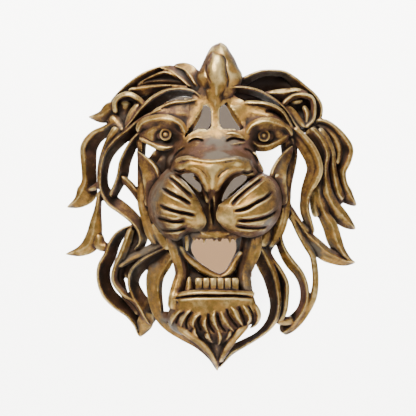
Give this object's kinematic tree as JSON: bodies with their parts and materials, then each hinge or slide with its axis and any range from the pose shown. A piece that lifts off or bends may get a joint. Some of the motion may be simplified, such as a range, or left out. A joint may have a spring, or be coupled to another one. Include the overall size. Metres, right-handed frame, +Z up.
{
  "type": "lion head wall mask",
  "caption": "Openwork wall ornament: a roaring lion's face with a mane of curling locks, hollow behind, hung by a keyhole in a boss behind its crest.",
  "frame": {"origin": "the flat face of the hanging boss behind the crest, in the wall plane, just under its keyhole", "axes": "+Z up, +X to the right of someone facing the mask, +Y into the wall; the face looks along -Y"},
  "size_m": [0.2679, 0.096, 0.3003],
  "materials": {
    "antique_bronze": "cast resin with an antique bronze coat: dark umber in the recesses, brown bronze, and gold rubbed over the raised edges"
  },
  "bodies": {
    "root": {"lion_mask": "antique_bronze"}
  },
  "joints": []
}
